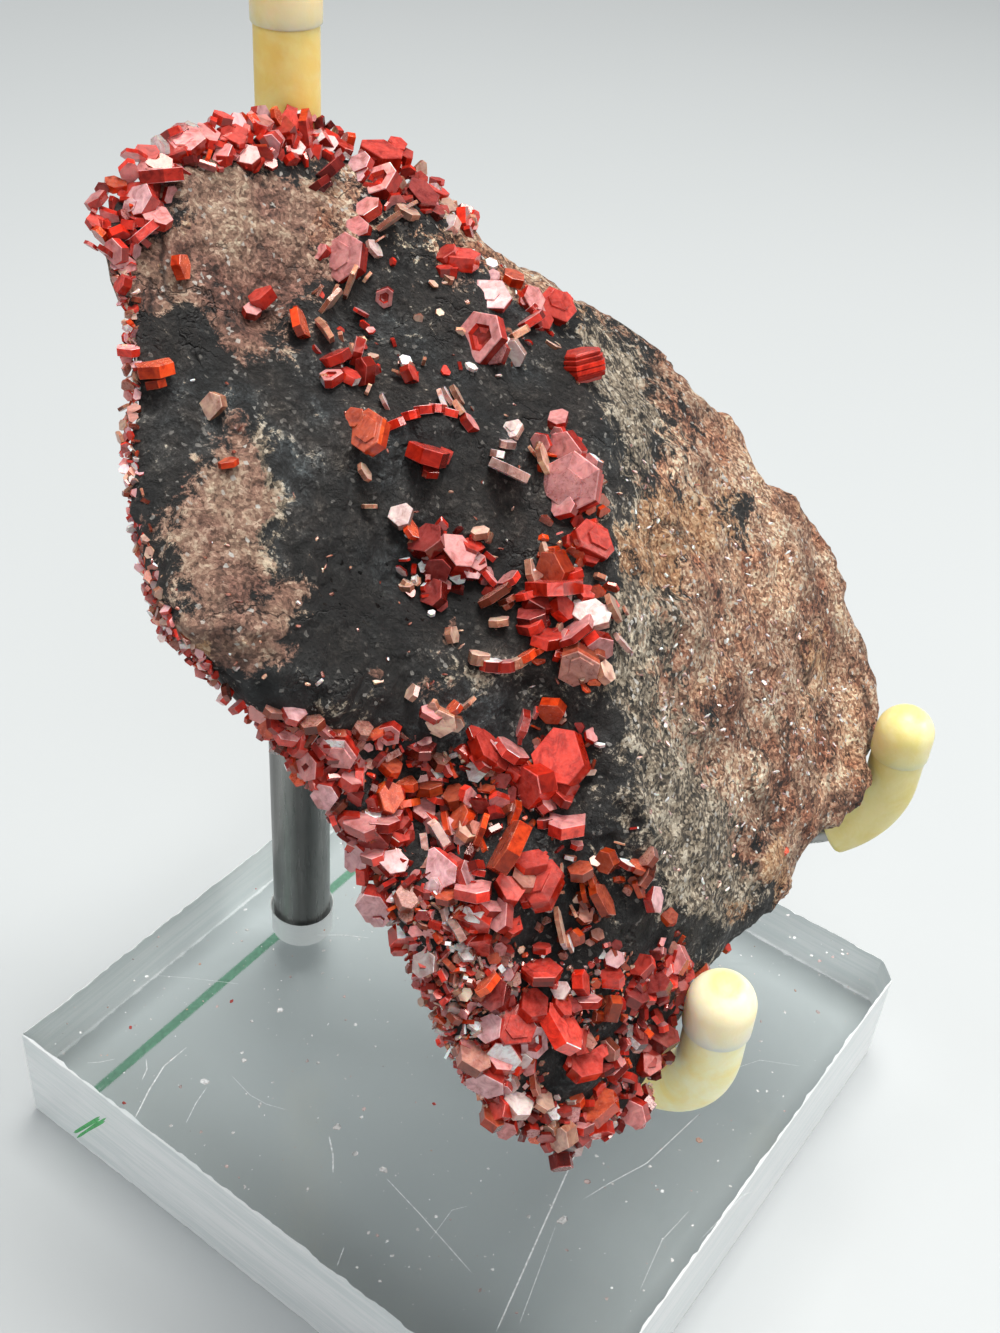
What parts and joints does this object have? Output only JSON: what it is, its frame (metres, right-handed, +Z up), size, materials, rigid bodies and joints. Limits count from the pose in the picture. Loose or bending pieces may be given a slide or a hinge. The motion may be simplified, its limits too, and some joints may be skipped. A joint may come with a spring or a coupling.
{
  "type": "vanadinite on matrix",
  "caption": "Red vanadinite crystals on a black and brown matrix block that leans in a clear slab stand with a steel post and sleeved hooks.",
  "frame": {"origin": "centre of the clear slab's underside", "axes": "+Z up; -Y is the stand's front, where the hooks are; +X is to the right seen from the front"},
  "size_m": [0.0722, 0.0689, 0.1148],
  "materials": {
    "matrix": "rough manganese-black and brown granular rock with tan patches",
    "vanadinite": "deep red to orange-red resinous crystal, frosted lilac-pink on the six-sided faces",
    "clear_acrylic": "clear acrylic with frosted sawn sides, fine scratches and dust",
    "steel": "satin drawn steel",
    "silicone": "translucent pale yellow silicone tube"
  },
  "bodies": {
    "root": {"acrylic_base": "clear_acrylic", "crown_cluster": "vanadinite", "crown_left_tablet": "vanadinite", "flank_lilac_hexagon": "vanadinite", "flank_long_plate": "vanadinite", "flank_orange_prism": "vanadinite", "flank_red_tablet": "vanadinite", "hollow_bar": "vanadinite", "hollow_curved_plate": "vanadinite", "hollow_dark_cluster": "vanadinite", "hollow_orange_tablet": "vanadinite", "hook_side_cluster": "vanadinite", "ledge_red_tablet": "vanadinite", "left_arm": "steel", "left_cap": "silicone", "left_sleeve": "silicone", "matrix": "matrix", "post_cap": "silicone", "post_sleeve": "silicone", "ridge_barrel": "vanadinite", "ridge_curved_plate": "vanadinite", "ridge_grey_plate": "vanadinite", "ridge_lilac_cluster": "vanadinite", "ridge_pink_cluster": "vanadinite", "right_arm": "steel", "right_cap": "silicone", "right_sleeve": "silicone", "rim_left_cluster": "vanadinite", "rim_top_cluster": "vanadinite", "shoulder_cluster": "vanadinite", "shoulder_low_cluster": "vanadinite", "steel_post": "steel", "tip_cluster": "vanadinite", "tip_pink_pair": "vanadinite", "upper_hexagon": "vanadinite", "upper_rod": "steel"}
  },
  "joints": []
}
